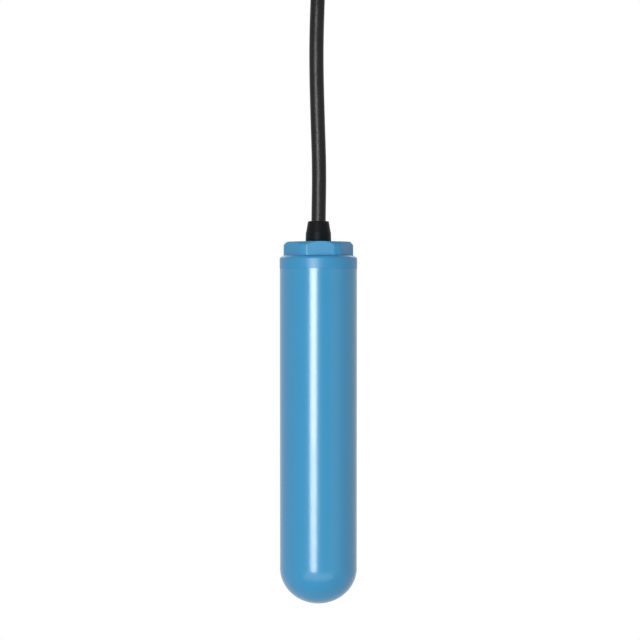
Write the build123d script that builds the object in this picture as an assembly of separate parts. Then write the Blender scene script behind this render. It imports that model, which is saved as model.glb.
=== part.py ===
from build123d import *
import math
import os

# Cable float switch. A slim blue float hangs on its own cable. Inside the float a steel ball
# rolls along a race and tips the lever of a small snap-action switch.
# Millimetres, +Z up. The origin lies on the cable's axis, halfway along the stretch of sheath
# that is gripped, and the float hangs straight below it.

# Cable
cable_diameter = 5.4
grip_above_collar = 113.1
sheath_end_above_grip = 5.5
arc_share = 0.45
core_diameter = 1.9
core_insulation = 0.4
core_gap = 0.1
core_angles = (210, 90, 330)
core_bare_length = 16.0
ferrule_wall = 0.2
ferrule_length = 8.0
ferrule_lip_wall = 0.15
ferrule_lip_length = 0.8

# Points of the cable between its two ends: sideways offset and height above the collar.
# It wanders by less than a millimetre, as a cable off a reel does when a float hangs on it.
cable_bends = [
    (0.00, 7.1),
    (0.36, 26.6),
    (-0.30, 46.6),
    (-0.76, 64.6),
    (-0.70, 78.6),
    (0.00, 98.6),
]

# Hexagon cap
hex_sides = 6
hex_across_flats = 24.0
hex_corner_trim = 0.8
hex_height = 5.2
hex_turn = 3.8
hex_chamfer_width = 1.0
hex_chamfer_height = 1.2
flange_overhang = 0.05
flange_height = 4.8
flange_edge_radius = 1.4
joint_chamfer = 0.05
spigot_end_chamfer = 0.2
spigot_length = 13.4
spigot_wall = 2.2
cap_roof = 6.0

# Seal ring between cap and float
seal_depth_below_joint = 2.0
seal_groove_depth = 1.2
seal_cord_width = 1.7
seal_side_room = 0.3
seal_gap = 0.02

# Bend protector, whose walls are measured from the cable outwards
protector_height = 7.8
protector_top_wall = 1.2
protector_waist_wall = 1.92
protector_skirt_height = 3.6
protector_skirt_wall = 2.0
protector_base_wall = 2.1
protector_base_height = 1.2
protector_edge_radius = 0.5
protector_neck_wall = 1.3
protector_neck_gap = 0.05
protector_flange_wall = 2.8
protector_flange_height = 2.0

# Anchor ring, potting and the sheath's inner end
anchor_wall = 1.5
anchor_length = 3.0
anchor_below_protector = 0.5
sheath_below_anchor = 1.5
potting_below_sheath = 5.5

# Float: its width follows from the switch that it has to hold, see the radii below
body_tube_length = 112.3
nose_flattening = 1.1
body_wall = 2.0
body_draft = 0.1
thread_gap = 0.05
rib_count = 4
rib_thickness = 1.4
rib_height = 3.0

# Switch carrier: two half shells that slide into the float
carrier_wall = 1.575
carrier_side_gap = 0.2
carrier_end_gap = 0.2
carrier_ring_width = 3.0
carrier_ring_count = 2
carrier_floor = 2.0
race_wall = 1.7
race_gap = 0.35
chamber_wall = 1.6
wiring_depth = 18.3
locating_pin_diameter = 1.4
locating_pin_length = 2.0
locating_pin_inset = 1.2
locating_pin_gap = 0.05

# Steel ball and its stop
ball_diameter = 15.875
ball_travel = 26.0
ball_rest_gap = 0.05
bumper_thickness = 2.0
bumper_side_gap = 0.1

# Snap-action switch
switch_length = 20.0
switch_thickness = 6.4
switch_height = 10.2
switch_cover_height = 3.2
switch_pocket_gap = 0.1
switch_edge_radius = 0.4
peg_spacing = 9.5
peg_diameter = 2.2
peg_gap = 0.05
peg_above_cover = 2.8
terminal_from_switch_end = 2.0
terminal_inset_in_sleeve = 0.1
terminal_thickness = 0.5
terminal_length = 4.0
sleeve_wall = 0.4
sleeve_above_switch = 0.5
sleeve_over_lead = 3.0

# Leads from the cable's inner end to the switch
lead_clear_of_potting = 0.3
lead_last_run = 7.5

# Lever and plunger
hinge_from_switch_end = 2.2
hinge_below_switch = 1.2
hinge_pin_diameter = 1.0
hinge_pin_gap = 0.03
lever_thickness = 0.3
lever_width = 3.4
lever_from_switch_end = 1.5
lever_swing = 8.0
lever_corner_share = 0.25
hinge_ear_inset = 0.4
hinge_ear_radius = 1.1
hinge_side_gap = 0.1
lever_ball_gap = 0.3
plunger_from_hinge = 3.9
plunger_diameter = 1.6
plunger_bore_gap = 0.05
plunger_guide_depth = 2.4
plunger_tip_share = 0.6
plunger_lever_gap = 0.1

# Heights, from the grip at zero downwards
collar_top = -grip_above_collar
flange_top = collar_top - hex_height
joint_level = flange_top - flange_height
spigot_end = joint_level - spigot_length
cup_roof = collar_top - cap_roof
nose_top = joint_level - body_tube_length
protector_flange_foot = cup_roof - protector_flange_height
anchor_top = protector_flange_foot - anchor_below_protector
anchor_foot = anchor_top - anchor_length
sheath_end = anchor_foot - sheath_below_anchor
potting_foot = sheath_end - potting_below_sheath
carrier_top = spigot_end - carrier_end_gap
switch_top = carrier_top - wiring_depth
switch_foot = switch_top - switch_height
case_split = switch_foot + switch_cover_height
peg_level = case_split + peg_above_cover
hinge_level = switch_foot - hinge_below_switch
terminal_tip = switch_top + terminal_length

# Radii, worked out from the switch's pocket outwards to the float and its cap
pocket_half_length = switch_length / 2 + switch_pocket_gap
pocket_half_width = switch_thickness / 2 + switch_pocket_gap
carrier_radius = math.hypot(pocket_half_length, pocket_half_width) + carrier_wall
nose_bore_radius = carrier_radius + carrier_side_gap
mouth_bore_radius = nose_bore_radius + body_draft
nose_radius = nose_bore_radius + body_wall
nose_depth = nose_radius - nose_flattening
nose_foot = nose_top - nose_depth
body_mouth_radius = mouth_bore_radius + body_wall
flange_radius = body_mouth_radius + flange_overhang
hex_corner_radius = hex_across_flats / math.sqrt(3) - hex_corner_trim
spigot_radius = mouth_bore_radius - thread_gap
cup_radius = spigot_radius - spigot_wall
seal_groove_radius = spigot_radius - seal_groove_depth
seal_groove_width = seal_cord_width + seal_side_room
ball_radius = ball_diameter / 2
race_radius = ball_radius + race_gap

# Cable, cores and terminals
cable_radius = cable_diameter / 2
core_radius = core_diameter / 2
core_spacing_radius = (core_diameter + core_gap) / math.sqrt(3)
ferrule_radius = core_radius - core_insulation + ferrule_wall
terminal_x = switch_length / 2 - terminal_from_switch_end
terminal_width = core_diameter - terminal_inset_in_sleeve
lead_first_run = (potting_below_sheath + lead_clear_of_potting) / (1 - arc_share)

# Sideways places of hinge and plunger
hinge_x = hinge_from_switch_end - switch_length / 2
lever_length = switch_length - hinge_from_switch_end - lever_from_switch_end
lever_room = hinge_below_switch + lever_length * math.tan(math.radians(lever_swing)) + hinge_ear_radius
plunger_x = hinge_x + plunger_from_hinge
hinge_pin_radius = hinge_pin_diameter / 2
eye_bore_radius = hinge_pin_radius + hinge_pin_gap
eye_radius = eye_bore_radius + lever_thickness
hinge_reach = switch_thickness / 2 - hinge_ear_inset
swing = math.radians(lever_swing)

# The ball's highest place leaves the gap to the free lever's lower face, which slopes by the swing.
lever_face_offset = eye_bore_radius - ball_radius - lever_ball_gap
ball_high = hinge_level + (lever_face_offset + hinge_x * math.sin(swing)) / math.cos(swing)
ball_low = ball_high - ball_travel
bumper_top = ball_low - ball_radius - ball_rest_gap
pocket_foot = switch_foot - lever_room
carrier_head_foot = pocket_foot - carrier_ring_width
race_floor = bumper_top - bumper_thickness
carrier_foot = race_floor - carrier_floor

# The plunger's tip follows the lever's upper face at its own distance from the hinge.
plunger_tip_pressed = hinge_level + eye_radius + plunger_lever_gap
plunger_stroke = plunger_from_hinge * math.tan(swing) + eye_radius * (1 - 1 / math.cos(swing))
plunger_tip = plunger_tip_pressed - plunger_stroke


def turned(*outline):
    """Solid turned about Z from an outline of (radius, height) corners."""
    corners = [(radius, 0, height) for radius, height in outline]
    return revolve(make_face(Polyline(*corners, close=True)), Axis.Z)


def disc(radius, low, high):
    """Upright cylinder on the float's axis between two heights."""
    return Pos(0, 0, (low + high) / 2) * Cylinder(radius, high - low)


def block(length, width, low, high, x=0.0):
    """Box centred on y = 0 between two heights."""
    return Pos(x, 0, (low + high) / 2) * Box(length, width, high - low)


def round_nosed(depth, *corners):
    """Solid turned about Z from (radius, height) corners, closed below by half a flattened ball."""
    radius, level = corners[-1]
    nose = EllipticalCenterArc((0, level), radius, depth, start_angle=-90, arc_size=90)
    sides = Polyline((0, level - depth), (0, corners[0][1]), *corners)
    return revolve(Plane.XZ * make_face(sides + nose), Axis.Z)


def cross_pin(radius, x, z, y_from, y_to):
    """Cylinder that lies along Y."""
    return Pos(x, (y_from + y_to) / 2, z) * Rot(90, 0, 0) * Cylinder(radius, y_to - y_from)


def corner_radii(points):
    """The largest arc that the two runs of each corner allow."""
    radii = []
    for before, corner, after in zip(points, points[1:], points[2:]):
        run_in = Vector(corner) - Vector(before)
        run_out = Vector(after) - Vector(corner)
        half_turn = math.radians(run_in.get_angle(run_out)) / 2
        shorter = min(run_in.length, run_out.length)
        radii.append(arc_share * shorter / math.tan(half_turn))
    return radii


def round_cord(name, points, diameter):
    """Round cord along straight runs joined by tangent arcs."""
    radii = corner_radii(points)
    path = FilletPolyline(*points, radius=radii)
    section = Plane(origin=path @ 0, z_dir=path % 0) * Circle(diameter / 2)
    cord = sweep(section, path=path)
    expected = math.pi * diameter**2 / 4 * path.length
    print(f"{name}: length {path.length:.1f}, volume {cord.volume / expected:.4f} of section x length")
    print(f"{name}: arc radii {[round(radius) for radius in radii]}")
    return cord


def core_places():
    """Where the three cores lie in the cable, as (x, y)."""
    angles = [math.radians(angle) for angle in core_angles]
    return [(core_spacing_radius * math.cos(a), core_spacing_radius * math.sin(a)) for a in angles]


def cable_route():
    """The cable's points, from its end inside the cap to its stripped end above the grip."""
    start = (0, 0, sheath_end)
    bends = [(x, 0, collar_top + height) for x, height in cable_bends]
    return [start, *bends, (0, 0, sheath_end_above_grip)]


def make_cable():
    """Round PVC sheath with its three cores in it."""
    return round_cord("cable", cable_route(), cable_diameter)


def make_core_end(place):
    """Insulated core that stands out of the sheath's outer end."""
    top = sheath_end_above_grip + core_bare_length
    return Pos(*place, 0) * disc(core_radius, sheath_end_above_grip, top)


def make_core_ferrules():
    """Crimped wire-end ferrules, one on each core, with a small bell mouth."""
    foot = sheath_end_above_grip + core_bare_length
    lip = disc(ferrule_radius + ferrule_lip_wall, foot, foot + ferrule_lip_length)
    sleeve = disc(ferrule_radius, foot, foot + ferrule_length)
    rim = sleeve.edges().group_by(Axis.Z)[-1]
    ferrule = lip + chamfer(rim, ferrule_wall)
    return Compound([Pos(*place, 0) * ferrule.solid() for place in core_places()])


def lead_route(place, end_x):
    """A lead's points, from the sheath's inner end through the potting to its terminal."""
    potted = (*place, sheath_end)
    leaving = (*place, sheath_end - lead_first_run)
    above_terminal = (end_x, 0, terminal_tip + lead_last_run)
    return [potted, leaving, above_terminal, (end_x, 0, terminal_tip)]


def make_terminal(x):
    """Flat solder lug on the switch's head."""
    return block(terminal_width, terminal_thickness, switch_top, terminal_tip, x)


def make_lead_sleeves():
    """Heat-shrink sleeves over the three soldered joints."""
    low = switch_top + sleeve_above_switch
    high = terminal_tip + sleeve_over_lead
    sleeve = disc(core_radius + sleeve_wall, low, high) - disc(core_radius, low, high)
    return Compound([Pos(x, 0, 0) * sleeve.solid() for x in terminal_places()])


def terminal_places():
    """Sideways places of the three terminals."""
    return [-terminal_x, 0.0, terminal_x]


def make_bend_protector():
    """Rubber sleeve: a short cone over a skirt, a neck through the cap and a flange behind it."""
    top = collar_top + protector_height
    skirt_top = collar_top + protector_skirt_height
    base_top = collar_top + protector_base_height
    sleeve = turned(
        (cable_radius, top),
        (cable_radius + protector_top_wall, top),
        (cable_radius + protector_waist_wall, skirt_top),
        (cable_radius + protector_skirt_wall, skirt_top),
        (cable_radius + protector_base_wall, base_top),
        (cable_radius + protector_base_wall, collar_top),
        (cable_radius + protector_neck_wall, collar_top),
        (cable_radius + protector_neck_wall, cup_roof),
        (cable_radius + protector_flange_wall, cup_roof),
        (cable_radius + protector_flange_wall, protector_flange_foot),
        (cable_radius, protector_flange_foot),
    )
    top_rim = sleeve.edges().group_by(Axis.Z)[-1].sort_by(SortBy.RADIUS)[-1]
    return fillet(top_rim, protector_edge_radius)


def make_anchor_ring():
    """Ring crimped on the sheath, which keeps a pull on the cable out of the leads."""
    ring = disc(cable_radius + anchor_wall, anchor_foot, anchor_top)
    return ring - disc(cable_radius, anchor_foot, anchor_top)


def make_end_cap():
    """Moulded cap: chamfered hexagon, round flange and a hollow spigot with a seal groove."""
    collar = turned(
        (0, collar_top),
        (hex_corner_radius - hex_chamfer_width, collar_top),
        (hex_corner_radius, collar_top - hex_chamfer_height),
        (hex_corner_radius, flange_top),
        (0, flange_top),
    )
    flat_to_front = 180 / hex_sides
    turn = flat_to_front + hex_turn
    hexagon = RegularPolygon(hex_across_flats / 2, hex_sides, major_radius=False, rotation=turn)
    collar &= Pos(0, 0, flange_top) * extrude(hexagon, hex_height)
    flange = disc(flange_radius, joint_level, flange_top)
    flange = fillet(flange.edges().group_by(Axis.Z)[-1], flange_edge_radius)
    flange = chamfer(flange.edges().group_by(Axis.Z)[0], joint_chamfer)
    spigot = disc(spigot_radius, spigot_end, joint_level)
    spigot = chamfer(spigot.edges().group_by(Axis.Z)[0], spigot_end_chamfer)
    groove_top = joint_level - seal_depth_below_joint
    groove_foot = groove_top - seal_groove_width
    groove = disc(mouth_bore_radius, groove_foot, groove_top)
    groove -= disc(seal_groove_radius, groove_foot, groove_top)
    cup = disc(cup_radius, spigot_end, cup_roof)
    neck_radius = cable_radius + protector_neck_wall
    gland_bore = disc(neck_radius + protector_neck_gap, cup_roof, collar_top)
    return collar + flange + spigot - groove - cup - gland_bore


def make_cap_seal():
    """Seal ring as it lies in its groove, squeezed to an oval between cap and float."""
    root = seal_groove_radius + seal_gap
    outside = mouth_bore_radius - seal_gap
    level = joint_level - seal_depth_below_joint - seal_groove_width / 2
    oval = Ellipse((outside - root) / 2, seal_cord_width / 2)
    return revolve(Plane.XZ * Pos((root + outside) / 2, level) * oval, Axis.Z)


def make_float_body():
    """Moulded tube with a slight draft and a round nose, and ribs inside that carry the switch."""
    outer = round_nosed(nose_depth, (body_mouth_radius, joint_level), (nose_radius, nose_top))
    outer = chamfer(outer.edges().group_by(Axis.Z)[-1], joint_chamfer)
    bore = round_nosed(
        nose_depth - body_wall,
        (mouth_bore_radius, joint_level),
        (mouth_bore_radius, spigot_end),
        (nose_bore_radius, nose_top),
    )
    rib_middle = nose_bore_radius + (body_wall - rib_height) / 2
    rib = block(rib_height + body_wall, rib_thickness, nose_foot, carrier_foot, rib_middle)
    for index in range(rib_count):
        bore -= Rot(0, 0, 360 * (index + 0.5) / rib_count) * rib
    return outer - bore


def make_potting():
    """Cured resin that fills the head of the cap round the cable, its anchor and the leads."""
    resin = disc(cup_radius, potting_foot, cup_roof)
    for piece in (make_bend_protector(), make_anchor_ring()):
        resin -= piece
    resin -= disc(cable_radius, sheath_end, cup_roof)
    for place in core_places():
        resin -= Pos(*place, 0) * disc(core_radius, potting_foot, sheath_end)
    return resin


def carrier_pin_places():
    """Places of the carrier's locating pins as (x, z): a pair under its head and one at its foot."""
    x = carrier_radius - locating_pin_inset
    levels = (carrier_head_foot + carrier_ring_width / 2, carrier_foot + carrier_ring_width / 2)
    return [(side * x, level) for side in (-1, 1) for level in levels]


def make_carrier():
    """The whole carrier before it is divided: wiring chamber, switch pocket and ball race."""
    carrier = disc(carrier_radius, carrier_head_foot, carrier_top)
    carrier += disc(race_radius + race_wall, carrier_foot, carrier_head_foot)
    pitch = (carrier_head_foot - carrier_foot) / carrier_ring_count
    for index in range(carrier_ring_count):
        ring_foot = carrier_foot + index * pitch
        carrier += disc(carrier_radius, ring_foot, ring_foot + carrier_ring_width)
    carrier -= disc(carrier_radius - chamber_wall, switch_top, carrier_top)
    carrier -= disc(race_radius, race_floor, switch_foot)
    return carrier - block(2 * pocket_half_length, 2 * pocket_half_width, pocket_foot, switch_top)


def make_carrier_halves():
    """Front and back half shells; the back one has the pegs and pins, the front one their holes."""
    whole = make_carrier()
    front = split(whole, Plane.XZ, keep=Keep.TOP)
    back = split(whole, Plane.XZ, keep=Keep.BOTTOM)
    pin_radius = locating_pin_diameter / 2
    for x, z in carrier_pin_places():
        back += cross_pin(pin_radius, x, z, -locating_pin_length, 0)
        front -= cross_pin(pin_radius + locating_pin_gap, x, z, -locating_pin_length - locating_pin_gap, 0)
    for x in (-peg_spacing / 2, peg_spacing / 2):
        peg_end = -pocket_half_width - locating_pin_length
        back += cross_pin(peg_diameter / 2, x, peg_level, peg_end, pocket_half_width)
        front -= cross_pin(peg_diameter / 2 + peg_gap, x, peg_level, peg_end - peg_gap, -pocket_half_width)
    return front, back


def make_ball_bumper():
    """Rubber disc at the foot of the race."""
    return disc(race_radius - bumper_side_gap, race_floor, bumper_top)


def make_steel_ball():
    """Bearing ball at the low end of its race."""
    return Pos(0, 0, ball_low) * Sphere(ball_radius)


def make_switch_base():
    """Upper part of the switch's case, with the two holes for the carrier's pegs."""
    base = block(switch_length, switch_thickness, case_split, switch_top)
    base = fillet(base.edges().filter_by(Axis.Z), switch_edge_radius)
    for x in (-peg_spacing / 2, peg_spacing / 2):
        base -= cross_pin(peg_diameter / 2 + peg_gap, x, peg_level, -switch_thickness, switch_thickness)
    return base


def make_switch_cover():
    """Lower part of the case: it guides the plunger and holds the hinge between two ears."""
    cover = block(switch_length, switch_thickness, switch_foot, case_split)
    cover = fillet(cover.edges().filter_by(Axis.Z), switch_edge_radius)
    ear = cross_pin(hinge_ear_radius, hinge_x, hinge_level, -hinge_reach, hinge_reach)
    ear += block(2 * hinge_ear_radius, 2 * hinge_reach, hinge_level, switch_foot, hinge_x)
    slot_width = lever_width + 2 * hinge_side_gap
    ear -= block(2 * hinge_ear_radius, slot_width, hinge_level - hinge_ear_radius, switch_foot, hinge_x)
    cover += ear
    cover -= cross_pin(hinge_pin_radius, hinge_x, hinge_level, -switch_thickness, switch_thickness)
    guide = disc(plunger_diameter / 2 + plunger_bore_gap, switch_foot, switch_foot + plunger_guide_depth)
    return cover - Pos(plunger_x, 0, 0) * guide


def make_lever_pin():
    """Hinge pin pressed into the cover's ears."""
    return cross_pin(hinge_pin_radius, hinge_x, hinge_level, -hinge_reach, hinge_reach)


def make_switch_lever():
    """Spring-steel strip rolled round its pin, drawn level and then swung down to its free place."""
    eye = cross_pin(eye_radius, hinge_x, hinge_level, -lever_width / 2, lever_width / 2)
    strip_low = hinge_level + eye_bore_radius
    strip_x = hinge_x + lever_length / 2
    strip = block(lever_length, lever_width, strip_low, strip_low + lever_thickness, strip_x)
    strip = fillet(strip.edges().filter_by(Axis.Z).group_by(Axis.X)[-1], lever_corner_share * lever_width)
    lever = eye + strip
    lever -= cross_pin(eye_bore_radius, hinge_x, hinge_level, -lever_width, lever_width)
    hinge = Pos(hinge_x, 0, hinge_level)
    return hinge * Rot(0, lever_swing, 0) * hinge.inverse() * lever


def make_switch_plunger():
    """Button with a domed tip that the lever lifts."""
    radius = plunger_diameter / 2
    head = switch_foot + plunger_guide_depth - plunger_stroke - plunger_lever_gap
    shank = disc(radius, plunger_tip, head)
    tip = shank.edges().group_by(Axis.Z)[0]
    return Pos(plunger_x, 0, 0) * fillet(tip, plunger_tip_share * radius)


carrier_front, carrier_back = make_carrier_halves()
colours = ("brown", "blue", "black")

pieces = {
    "float_body": make_float_body(),
    "end_cap": make_end_cap(),
    "cap_seal": make_cap_seal(),
    "bend_protector": make_bend_protector(),
    "cable": make_cable(),
    "cable_anchor_ring": make_anchor_ring(),
    "potting_compound": make_potting(),
    "carrier_front": carrier_front,
    "carrier_back": carrier_back,
    "ball_bumper": make_ball_bumper(),
    "steel_ball": make_steel_ball(),
    "switch_base": make_switch_base(),
    "switch_cover": make_switch_cover(),
    "switch_lever": make_switch_lever(),
    "lever_pin": make_lever_pin(),
    "switch_plunger": make_switch_plunger(),
    "lead_sleeves": make_lead_sleeves(),
    "core_ferrules": make_core_ferrules(),
}
for colour, place, end_x in zip(colours, core_places(), terminal_places()):
    pieces[f"lead_{colour}"] = round_cord(f"lead_{colour}", lead_route(place, end_x), core_diameter)
    pieces[f"core_end_{colour}"] = make_core_end(place)
    pieces[f"terminal_{colour}"] = make_terminal(end_x)

print(f"ball travel {ball_travel}, plunger stroke {plunger_stroke:.4f}")
print(f"hinge at x {hinge_x:.3f}, z {hinge_level:.3f}; float's nose at z {nose_foot:.2f}")

os.makedirs("parts", exist_ok=True)
for name, shape in pieces.items():
    export_step(shape, f"parts/{name}.step")
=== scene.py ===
import logging
import math
from collections.abc import Iterable, Sequence
from dataclasses import dataclass
from enum import Enum

import bpy
import numpy as np
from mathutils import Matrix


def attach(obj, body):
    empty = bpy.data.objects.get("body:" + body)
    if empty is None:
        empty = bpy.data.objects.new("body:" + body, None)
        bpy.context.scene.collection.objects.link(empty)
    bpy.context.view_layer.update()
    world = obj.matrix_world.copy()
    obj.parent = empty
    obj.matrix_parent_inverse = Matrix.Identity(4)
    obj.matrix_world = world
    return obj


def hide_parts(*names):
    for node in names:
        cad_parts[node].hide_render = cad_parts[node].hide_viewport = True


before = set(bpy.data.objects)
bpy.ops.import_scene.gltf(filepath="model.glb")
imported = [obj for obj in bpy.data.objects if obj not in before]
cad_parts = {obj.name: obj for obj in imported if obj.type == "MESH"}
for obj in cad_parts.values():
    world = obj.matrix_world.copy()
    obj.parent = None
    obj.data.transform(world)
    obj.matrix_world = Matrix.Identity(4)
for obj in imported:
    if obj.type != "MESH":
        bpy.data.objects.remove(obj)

LOG = logging.getLogger("float_switch")
MM = 0.001
# Sheen changes over shorter stretches than tone: this many patches for one of tone.
SHEEN_PATCHES = 2.3
# Nearly all of a noise's values lie between these two.
NOISE_RANGE = (0.3, 0.7)
# Arcs in outlines: how far a chord may lie inside its arc, and the least and greatest step.
ARC_ERROR_MM = 0.003
ARC_STEPS_DEG = (2.5, 18.0)
# Faces that meet at more than this angle keep a crisp edge between them.
CRISP_ANGLE_DEG = 38.0

Triple = tuple[float, float, float]
Tree = bpy.types.NodeTree
Socket = bpy.types.NodeSocket


def linear(colour: str) -> tuple[float, float, float, float]:
    """Turn an sRGB hex colour into the linear colour that shaders take.

    Args:
        colour: six hex digits after a hash sign.

    Returns:
        Linear red, green and blue, with an alpha of 1.
    """
    shares = np.array([int(colour[i : i + 2], 16) / 255 for i in (1, 3, 5)])
    curve = np.where(shares <= 0.04045, shares / 12.92, ((shares + 0.055) / 1.055) ** 2.4)
    return (*curve.tolist(), 1.0)


def add_node(
    tree: Tree,
    kind: str,
    sockets: dict[str | int, object] | None = None,
    **settings: object,
) -> bpy.types.Node:
    """Add one node with its settings and links.

    Args:
        tree: the tree that gets the node.
        kind: the node's type name.
        sockets: values or other nodes' outputs for the inputs, by name or number.
        settings: the node's own properties.

    Returns:
        The new node.
    """
    node = tree.nodes.new(kind)
    for name, value in settings.items():
        setattr(node, name, value)
    for socket, value in (sockets or {}).items():
        if isinstance(value, Socket):
            tree.links.new(value, node.inputs[socket])
        else:
            node.inputs[socket].default_value = value
    return node


def calculate(tree: Tree, operation: str, *values: object) -> Socket:
    """The result of one step of arithmetic on numbers or other nodes' outputs."""
    return add_node(tree, "ShaderNodeMath", dict(enumerate(values)), operation=operation).outputs[0]


def noise(
    tree: Tree, place: Socket, size_mm: float, detail: float, roughness: float = 0.5
) -> Socket:
    """Soft noise with patches of a real size.

    Args:
        tree: the tree that gets the noise.
        place: the coordinates that it follows.
        size_mm: how wide a patch is.
        detail: how many finer layers it has.
        roughness: how much the finer layers count.

    Returns:
        Its value, about one half on average.
    """
    scale = 1 / (size_mm * MM)
    sockets = {"Vector": place, "Scale": scale, "Detail": detail, "Roughness": roughness}
    return add_node(tree, "ShaderNodeTexNoise", sockets).outputs["Fac"]


def raised(tree: Tree, height: Socket, depth_mm: float) -> bpy.types.Node:
    """The bump node that makes a height of one stand up by a real depth."""
    sockets = {"Strength": 1.0, "Distance": depth_mm * MM, "Height": height}
    return add_node(tree, "ShaderNodeBump", sockets)


class Grain(Enum):
    """Which way a surface's finest marks run, as the pattern's stretch along X, Y and Z."""

    EVEN = (1.0, 1.0, 1.0)
    UPRIGHT = (1.0, 1.0, 0.02)
    RINGS = (0.06, 0.06, 1.0)
    SIDEWAYS = (0.05, 1.0, 1.0)


@dataclass(frozen=True)
class Finish:
    """A moulded, cast or worked surface: slow patches of tone and sheen under a fine grain.

    The tone and the roughness drift with soft noise of the patch size. The grain is a finer
    noise, stretched the way that the marks run, and lifts the surface by its depth.
    """

    name: str
    colour: str
    shade: str
    roughness: tuple[float, float]
    patch_mm: float
    grain_mm: float
    grain_depth_mm: float
    grain: Grain = Grain.EVEN
    metallic: float = 0.0
    ior: float = 1.5
    specular: float = 0.5
    anisotropy: float = 0.0

    def relief(self, tree: Tree, place: Socket) -> Socket | None:
        """Normal of a slow relief for the grain to build on; a plain finish has none."""
        return None

    def sheen(self, tree: Tree, place: Socket) -> Socket:
        """Roughness that drifts between its two ends with soft noise.

        Args:
            tree: the material's tree.
            place: the object coordinates.

        Returns:
            The roughness.
        """
        drift = noise(tree, place, self.patch_mm / SHEEN_PATCHES, detail=4.0)
        ends = dict(zip(("From Min", "From Max", "To Min", "To Max"), NOISE_RANGE + self.roughness))
        return add_node(tree, "ShaderNodeMapRange", {"Value": drift, **ends}).outputs["Result"]

    def surface(self, tree: Tree, place: Socket) -> dict[str | int, object]:
        """Work out tone, roughness and normal.

        Args:
            tree: the material's tree.
            place: the object coordinates.

        Returns:
            What the shader's sockets get.
        """
        patches = noise(tree, place, self.patch_mm, detail=3.0, roughness=0.55)
        tones = {0: patches, 6: linear(self.shade), 7: linear(self.colour)}
        tone = add_node(tree, "ShaderNodeMix", tones, data_type="RGBA")
        stretch = {"Vector": place, "Scale": self.grain.value}
        stretched = add_node(tree, "ShaderNodeMapping", stretch)
        marks = noise(tree, stretched.outputs["Vector"], self.grain_mm, detail=2.0)
        bump = raised(tree, marks, self.grain_depth_mm)
        under = self.relief(tree, place)
        if under is not None:
            tree.links.new(under, bump.inputs["Normal"])
        return {
            "Base Color": tone.outputs[2],
            "Roughness": self.sheen(tree, place),
            "Normal": bump.outputs["Normal"],
            "Metallic": self.metallic,
            "IOR": self.ior,
            "Specular IOR Level": self.specular,
            "Anisotropic": self.anisotropy,
        }

    def build(self) -> bpy.types.Material:
        """Make the material.

        Returns:
            The material, with its whole node tree.
        """
        material = bpy.data.materials.new(self.name)
        material.use_nodes = True
        tree = material.node_tree
        tree.nodes.clear()
        place = add_node(tree, "ShaderNodeTexCoord").outputs["Object"]
        shader = add_node(tree, "ShaderNodeBsdfPrincipled", self.surface(tree, place))
        add_node(tree, "ShaderNodeOutputMaterial", {"Surface": shader.outputs["BSDF"]})
        return material

    def material(self) -> bpy.types.Material:
        """The finish's one material, made when it is first asked for."""
        return bpy.data.materials.get(self.name) or self.build()


@dataclass(frozen=True)
class MouldedShell(Finish):
    """Thick moulded plastic, whose cooling leaves long, very shallow waves in the wall."""

    wave_mm: float = 9.0
    wave_depth_mm: float = 0.006

    def relief(self, tree: Tree, place: Socket) -> Socket | None:
        """Normal of the shallow sink waves, which are a slow noise."""
        waves = noise(tree, place, self.wave_mm, detail=0.0)
        return raised(tree, waves, self.wave_depth_mm).outputs["Normal"]


@dataclass(frozen=True)
class StruckCap(MouldedShell):
    """Moulding from a tool in two parts: above a level it is more deeply eroded, so more matt."""

    step_mm: float = -118.3
    step_width_mm: float = 0.3
    step_roughness: float = 0.06

    def sheen(self, tree: Tree, place: Socket) -> Socket:
        """The drifting roughness, raised above the step.

        Args:
            tree: the material's tree.
            place: the object coordinates.

        Returns:
            The roughness.
        """
        drifting = super().sheen(tree, place)
        axes = add_node(tree, "ShaderNodeSeparateXYZ", {0: place})
        ends = {
            "From Min": (self.step_mm - self.step_width_mm) * MM,
            "From Max": (self.step_mm + self.step_width_mm) * MM,
            "To Max": self.step_roughness,
        }
        step = add_node(tree, "ShaderNodeMapRange", {"Value": axes.outputs["Z"], **ends})
        return calculate(tree, "ADD", drifting, step.outputs["Result"])


@dataclass(frozen=True)
class LaidSheath(Finish):
    """Sheath extruded over twisted cores, which press through as a low three-start helix.

    The height is the sine of three times the angle round the cable plus three turns for each
    lay length along it, broken up by a slow noise.
    """

    lay_mm: float = 42.0
    lay_depth_mm: float = 0.01
    cores: int = 3
    slow_share: float = 0.3
    slow_height: float = 3.0

    def relief(self, tree: Tree, place: Socket) -> Socket | None:
        """The cores' helix under the sheath.

        Args:
            tree: the material's tree.
            place: the object coordinates.

        Returns:
            The helix's normal.
        """
        axes = add_node(tree, "ShaderNodeSeparateXYZ", {0: place})
        angle = calculate(tree, "ARCTAN2", axes.outputs["Y"], axes.outputs["X"])
        twist = 2 * math.pi / (self.lay_mm * MM)
        turned = calculate(tree, "MULTIPLY_ADD", axes.outputs["Z"], twist, angle)
        helix = calculate(tree, "SINE", calculate(tree, "MULTIPLY", turned, float(self.cores)))
        slow = noise(tree, place, self.slow_share * self.lay_mm, detail=1.0)
        height = calculate(tree, "MULTIPLY_ADD", slow, self.slow_height, helix)
        return raised(tree, height, self.lay_depth_mm).outputs["Normal"]


# Injection-moulded polypropylene from a polished tool: smooth, a little waxy, with soft-edged
# highlights.
TUBE_PLASTIC = MouldedShell(
    name="blue_polypropylene_polished_mould",
    colour="#228ABA",
    shade="#1F87B6",
    roughness=(0.22, 0.25),
    patch_mm=14.0,
    grain_mm=0.5,
    grain_depth_mm=0.0012,
    specular=0.65,
)
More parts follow.
